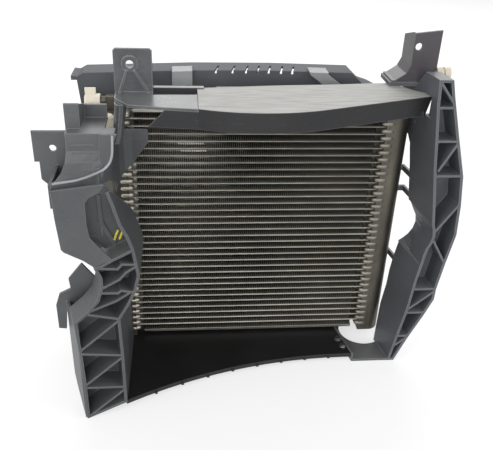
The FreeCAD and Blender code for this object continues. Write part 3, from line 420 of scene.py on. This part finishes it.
lift = add(tree, "ShaderNodeMath", operation="MULTIPLY",
           links=[(crest, 0), (sized["Fold height"], 1)])
odd = add(tree, "ShaderNodeMath", operation="MODULO", links=[(index, 0), (2.0, 1)])
lean = add(tree, "ShaderNodeMath", operation="MULTIPLY",
           links=[(odd, 0), (sized["Fold width"], 1)])
lean = add(tree, "ShaderNodeMath", operation="MULTIPLY",
           links=[(lean, 0), (sized["Fold lean"], 1)])
shift = add(tree, "ShaderNodeCombineXYZ", links=[(lean, "X"), (lift, "Z")])
wave = add(tree, "GeometryNodeSetPosition", links=[(line, "Geometry"), (shift, "Offset")])
deep = add(tree, "ShaderNodeCombineXYZ", links=[(sized["Depth"], "Y")])
strip = add(tree, "GeometryNodeExtrudeMesh", mode="EDGES", links=[(wave, "Mesh"), (deep, "Offset")])
upward = add(tree, "ShaderNodeCombineXYZ", links=[(sized["Row pitch"], "Z")])
rows = add(tree, "GeometryNodeMeshLine", mode="OFFSET",
           links=[(sized["Rows"], "Count"), (upward, "Offset")])
repeated = add(tree, "GeometryNodeInstanceOnPoints", links=[(rows, "Points"), (strip, "Instance")])
real = add(tree, "GeometryNodeRealizeInstances", links=[(repeated, 0)])
# No two folds stand quite alike: a soft noise, some 11 mm wide, moves them by up to the waver
# either way.
spot = add(tree, "GeometryNodeInputPosition")
noise = add(tree, "ShaderNodeTexNoise", in_Scale=90.0, links=[(spot, "Vector")])
other_way = add(tree, "ShaderNodeMath", operation="MULTIPLY",
                links=[(sized["Waver"], 0), (-1.0, 1)])
waver = add(tree, "ShaderNodeMapRange",
            links=[(noise, "Value"), (other_way, "To Min"), (sized["Waver"], "To Max")])
waver = add(tree, "ShaderNodeCombineXYZ", links=[(waver, "X")])
uneven = add(tree, "GeometryNodeSetPosition", links=[(real, "Geometry"), (waver, "Offset")])
coated = add(tree, "GeometryNodeSetMaterial", in_Material=fin_foil, links=[(uneven, "Geometry")])
add(tree, "NodeGroupOutput", links=[(coated, 0)])
fins = grown("folded_fins", bpy.data.meshes.new("fin_seed"), tree, fin_sizes,
             sheet=foil_thickness)
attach(fins, "radiator")
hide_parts("core_fins")

# Knocked folds: two rows of fins have a run that a stone has bent over, scraped bare and bright.
# Each bent fold is a slanting scrap of foil that stands a little in front of the core.
bare_foil = brazed("scraped_bare_aluminium_foil", "#e6e4de", "#f4f3ee", 0.3,
                   run=(60.0, 60.0, 60.0))
scrap_height, scrap_width, scrap_slant, scrap_step = 0.0020, 0.0007, 0.0011, 0.0021
scrap_front, scrap_back = fin_front - 0.0004, fin_front + 0.0012
# Scraps are shorter towards both ends of a run, by up to this share of their height each side.
scrap_shorter = 0.125
scrap_count = 12
scrap_runs = ((-0.0765, 0.2368), (-0.0740, 0.2293))
box_faces = ((0, 1, 2, 3), (7, 6, 5, 4), (0, 4, 5, 1), (1, 5, 6, 2), (2, 6, 7, 3), (3, 7, 4, 0))
corners, faces = [], []
for run_left, run_low in scrap_runs:
    for step in range(scrap_count):
        left = run_left + scrap_step * step
        short = scrap_shorter * abs(2 * step - scrap_count) / scrap_count
        low = run_low + scrap_height * short
        high = run_low + scrap_height * (1 - short)
        first = len(corners)
        for depth in (scrap_front, scrap_back):
            corners += [(left + scrap_slant, depth, low),
                        (left + scrap_slant + scrap_width, depth, low),
                        (left + scrap_width, depth, high), (left, depth, high)]
        faces += [tuple(first + corner for corner in face) for face in box_faces]
knocked_mesh = bpy.data.meshes.new("knocked_folds")
knocked_mesh.from_pydata(corners, [], faces)
knocked_mesh.materials.append(bare_foil)
knocked = bpy.data.objects.new("knocked_folds", knocked_mesh)
bpy.context.scene.collection.objects.link(knocked)
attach(knocked, "radiator")

# Header fingers: the header's metal swells between the tubes into rounded fingers that point at
# the fins. They are pressed with the header from one sheet, and flux leaves them a little paler.
# The left fingers are painted much paler than the right ones, as painted light.
# Each ring gives its distance from the tip, its half height and how far its front is set back.
finger_rings = ((0.0, 0.0004, 0.0026), (0.0004, 0.0013, 0.0015), (0.0011, 0.0019, 0.0007),
                (0.0022, 0.0023, 0.0001), (0.0045, 0.0025, -0.0004), (0.0075, 0.0029, -0.0007),
                (0.0105, 0.0034, -0.0005), (0.013, 0.00374, 0.0002))
finger_tip, header_face, finger_back = 0.1206, -0.0465, -0.026
# A finger's front is a half ellipse of so many points, this share as deep as it is half high.
front_points, front_depth = 9, 0.8


def fingers(name, side, metal):
    """A finger for each gap, as a half round section carried back to the header."""
    corners, faces = [], []
    for reach, half, set_back in finger_rings:
        across = side * (finger_tip + reach)
        for step in range(front_points):
            turn = math.pi * (step / (front_points - 1) - 0.5)
            roundness = half * front_depth * (1 - math.cos(turn))
            corners.append((across, header_face + set_back + roundness, half * math.sin(turn)))
        corners += [(across, finger_back, half), (across, finger_back, -half)]
    around = front_points + 2
    for ring in range(len(finger_rings) - 1):
        for step in range(around):
            a, b = ring * around + step, ring * around + (step + 1) % around
            faces.append((a, b, b + around, a + around))
    faces += [tuple(range(around)), tuple(range(len(corners) - around, len(corners)))]
    mesh = bpy.data.meshes.new(name)
    mesh.from_pydata(corners, [], faces)
    work = bmesh.new()
    work.from_mesh(mesh)
    bmesh.ops.recalc_face_normals(work, faces=work.faces)
    for face in work.faces:
        face.smooth = len(face.verts) == 4
    work.to_mesh(mesh)
    work.free()
    sizes = dict(Rows=row_count, Row_pitch=tube_pitch)
    tree, sized = new_pattern(name + "_rows", **sizes)
    upward = add(tree, "ShaderNodeCombineXYZ", links=[(sized["Row pitch"], "Z")])
    rows = add(tree, "GeometryNodeMeshLine", mode="OFFSET",
               in_Start_Location=(0.0, 0.0, first_gap),
               links=[(sized["Rows"], "Count"), (upward, "Offset")])
    repeated = add(tree, "GeometryNodeInstanceOnPoints",
                   links=[(rows, "Points"), (sized["Geometry"], "Instance")])
    real = add(tree, "GeometryNodeRealizeInstances", links=[(repeated, 0)])
    coated = add(tree, "GeometryNodeSetMaterial", in_Material=metal, links=[(real, "Geometry")])
    add(tree, "NodeGroupOutput", links=[(coated, 0)])
    piece = grown(name, mesh, tree, sizes)
    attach(piece, "radiator")


fingers("left_header_fingers", -1, brazed("brazed_aluminium_with_flux", "#b0aca2", "#c9c6bd", 0.5))
fingers("right_header_fingers", 1,
        brazed("brazed_aluminium_header_fingers", "#7b776d", "#94908a", 0.5))

# Screws: hexagon heads with a round flange, cold-headed in zinc-plated steel, dull grey.
# Eight hold the guides and the floor, from the front and from above, and four hold the core
# from behind.
screw_steel = brazed("zinc_plated_steel", "#6f6f71", "#88888a", 0.38, run=(30.0, 30.0, 30.0))
front, rear, above = (0.0, -1.0, 0.0), (0.0, 1.0, 0.0), (0.0, 0.0, 1.0)
screw_seats = ((-0.09, -0.0165, 0.018, front), (0.09, -0.0165, 0.018, front),
               (0.144, -0.0165, 0.103, front), (0.144, -0.0165, 0.176, front),
               (0.144, -0.0165, 0.2, front), (-0.156, -0.0165, 0.2535, front),
               (0.10193, -0.074, 0.0095, above), (0.09936, -0.062, 0.0095, above),
               (-0.1375, -0.0115, 0.06, rear), (-0.1375, -0.0115, 0.215, rear),
               (0.1375, -0.0115, 0.06, rear), (0.1375, -0.0115, 0.215, rear))
seats = bpy.data.meshes.new("screw_seats")
seats.from_pydata([seat[:3] for seat in screw_seats], [], [])
way = seats.attributes.new("facing", "FLOAT_VECTOR", "POINT")
for entry, seat in zip(way.data, screw_seats):
    entry.vector = seat[3]
screw_sizes = dict(Head_radius=0.0037, Head_top_radius=0.0033, Head_height=0.0019,
                   Flange_radius=0.0043, Flange_top_radius=0.0036, Flange_height=0.0005,
                   Shank_radius=0.0015, Shank_length=0.006)
tree, sized = new_pattern("flanged_screws", **screw_sizes)
head = add(tree, "GeometryNodeMeshCone", in_Vertices=6,
           links=[(sized["Head radius"], "Radius Bottom"),
                  (sized["Head top radius"], "Radius Top"), (sized["Head height"], "Depth")])
raised = add(tree, "ShaderNodeCombineXYZ", links=[(sized["Flange height"], "Z")])
head = add(tree, "GeometryNodeTransform", links=[(head, "Geometry"), (raised, "Translation")])
flange = add(tree, "GeometryNodeMeshCone", in_Vertices=20,
             links=[(sized["Flange radius"], "Radius Bottom"),
                    (sized["Flange top radius"], "Radius Top"),
                    (sized["Flange height"], "Depth")])
shank = add(tree, "GeometryNodeMeshCylinder", in_Vertices=12,
            links=[(sized["Shank radius"], "Radius"), (sized["Shank length"], "Depth")])
# The shank's upper end lies in the flange's top.
middle = add(tree, "ShaderNodeMath", operation="MULTIPLY_ADD",
             links=[(sized["Shank length"], 0), (-0.5, 1), (sized["Flange height"], 2)])
lowered = add(tree, "ShaderNodeCombineXYZ", links=[(middle, "Z")])
shank = add(tree, "GeometryNodeTransform", links=[(shank, "Geometry"), (lowered, "Translation")])
screw = add(tree, "GeometryNodeJoinGeometry", links=[(head, 0), (flange, 0), (shank, 0)])
facing = add(tree, "GeometryNodeInputNamedAttribute", data_type="FLOAT_VECTOR", in_Name="facing")
aimed = add(tree, "FunctionNodeAlignRotationToVector", axis="Z", links=[(facing, "Vector")])
repeated = add(tree, "GeometryNodeInstanceOnPoints",
               links=[(sized["Geometry"], "Points"), (screw, "Instance"), (aimed, "Rotation")])
real = add(tree, "GeometryNodeRealizeInstances", links=[(repeated, 0)])
coated = add(tree, "GeometryNodeSetMaterial", in_Material=screw_steel, links=[(real, "Geometry")])
add(tree, "NodeGroupOutput", links=[(coated, 0)])
screws = grown("flanged_screws", seats, tree, screw_sizes)
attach(screws, "radiator")
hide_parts("core_screws", "guide_screws")

# Beads on the scoop: a rounded lip moulded along the ridge and up the corner post, and two soft
# ribs across the bowl. Both are of the guide's own plastic; the lip is painted pale and smooth as a
# painted highlight.
lip_highlight_plastic = moulded("moulded_polypropylene_rubbed_lip", "#85888b", "#9b9da0", "#c3c5c7", 0.24)
lip_radius, rib_radius, rib_sunk = 0.0011, 0.001, 0.0006
rib_left, rib_step, rib_points = -0.161, 0.0045, 5
# The ridge's points, in millimetres, from the outer end in to the corner post and up along it.
ridge = ((-173.5, -157.6, 250), (-164, -154.2, 250), (-156, -151.4, 250), (-148, -145, 250),
         (-141.7, -137.6, 250), (-135.4, -131.4, 250.8), (-130.9, -131, 256.2),
         (-129, -131, 261.5), (-128.2, -131, 267), (-127.9, -131, 273), (-127.5, -131, 280))


def bead(name, points, radius, material):
    """A round bead along a smooth curve, with closed ends."""
    curve = bpy.data.curves.new(name, "CURVE")
    curve.dimensions = "3D"
    spline = curve.splines.new("NURBS")
    spline.points.add(len(points) - 1)
    for knot, point in zip(spline.points, points):
        knot.co = (point[0], point[1], point[2], 1.0)
    spline.order_u = 3
    spline.use_endpoint_u = True
    spline.resolution_u = 8
    sizes = dict(Radius=radius)
    tree, sized = new_pattern(name + "_sweep", **sizes)
    ring = add(tree, "GeometryNodeCurvePrimitiveCircle", in_Resolution=12,
               links=[(sized["Radius"], "Radius")])
    swept = add(tree, "GeometryNodeCurveToMesh", in_Fill_Caps=True,
                links=[(sized["Geometry"], "Curve"), (ring, "Profile Curve")])
    real = add(tree, "GeometryNodeRealizeInstances", links=[(swept, 0)])
    coated = add(tree, "GeometryNodeSetMaterial", in_Material=material,
                 links=[(real, "Geometry")])
    add(tree, "NodeGroupOutput", links=[(coated, 0)])
    piece = grown(name, curve, tree, sizes)
    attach(piece, "radiator")


guide_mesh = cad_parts["left_air_guide"].data
guide_shape = BVHTree.FromPolygons([corner.co.copy() for corner in guide_mesh.vertices],
                                   [tuple(face.vertices) for face in guide_mesh.polygons])
ray_start = -0.3


def on_guide(x, z, sunk):
    """The point of the left guide's skin that is seen from the front at x and z, sunk a little."""
    hit = guide_shape.ray_cast(Vector((x, ray_start, z)), Vector((0.0, 1.0, 0.0)))[0]
    return (x, hit.y + sunk, z)


bead("scoop_lip", [(x / 1000, y / 1000, z / 1000) for x, y, z in ridge], lip_radius, lip_highlight_plastic)
for name, level in (("upper_bowl_rib", 0.271), ("lower_bowl_rib", 0.2645)):
    bead(name, [on_guide(rib_left + rib_step * step, level, rib_sunk)
                for step in range(rib_points)], rib_radius, guide_plastic)

# Recess corner: a small web that closes the lower corner between the panel and the recess.
# It is moulded in one with the guide, and follows the slant of the panel around it.
web_outline = ((-153.0, 190.5), (-146.5, 190.5), (-143.5, 186.0), (-145.0, 182.5),
               (-149.5, 183.5), (-153.0, 188.0))
panel_x, panel_y, panel_slant, web_thickness = -149.9, -135.8, 0.29, 0.0012
web_mesh = bpy.data.meshes.new("recess_corner_web")
web_mesh.from_pydata([(x / 1000, (panel_y + (x - panel_x) * panel_slant) / 1000, z / 1000)
                      for x, z in web_outline], [], [tuple(range(len(web_outline)))])
web_mesh.materials.append(guide_plastic)
web = bpy.data.objects.new("recess_corner_web", web_mesh)
bpy.context.scene.collection.objects.link(web)
wall = web.modifiers.new("wall", "SOLIDIFY")
wall.thickness, wall.offset = web_thickness, 0.0
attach(web, "radiator")

# Paint dab: two quick strokes of a paint pen on the recess, put there by hand.
# The eye sees thick yellow paint, glossy and uneven.
dab_paint = moulded("yellow_paint_pen_on_plastic", "#d6c83c", "#e0d65c", "#ece484", 0.35)
stroke_radius, stroke_sunk = 0.0011, -0.0001
stroke_shares = (0.0, 0.35, 0.7, 1.0)
for name, low_end, high_end in (("left_paint_stroke", (-131.5, 185.0), (-128.0, 193.0)),
                                ("right_paint_stroke", (-127.5, 183.5), (-124.5, 190.5))):
    places = [[a + (b - a) * share for a, b in zip(low_end, high_end)] for share in stroke_shares]
    bead(name, [on_guide(x / 1000, z / 1000, stroke_sunk) for x, z in places],
         stroke_radius, dab_paint)
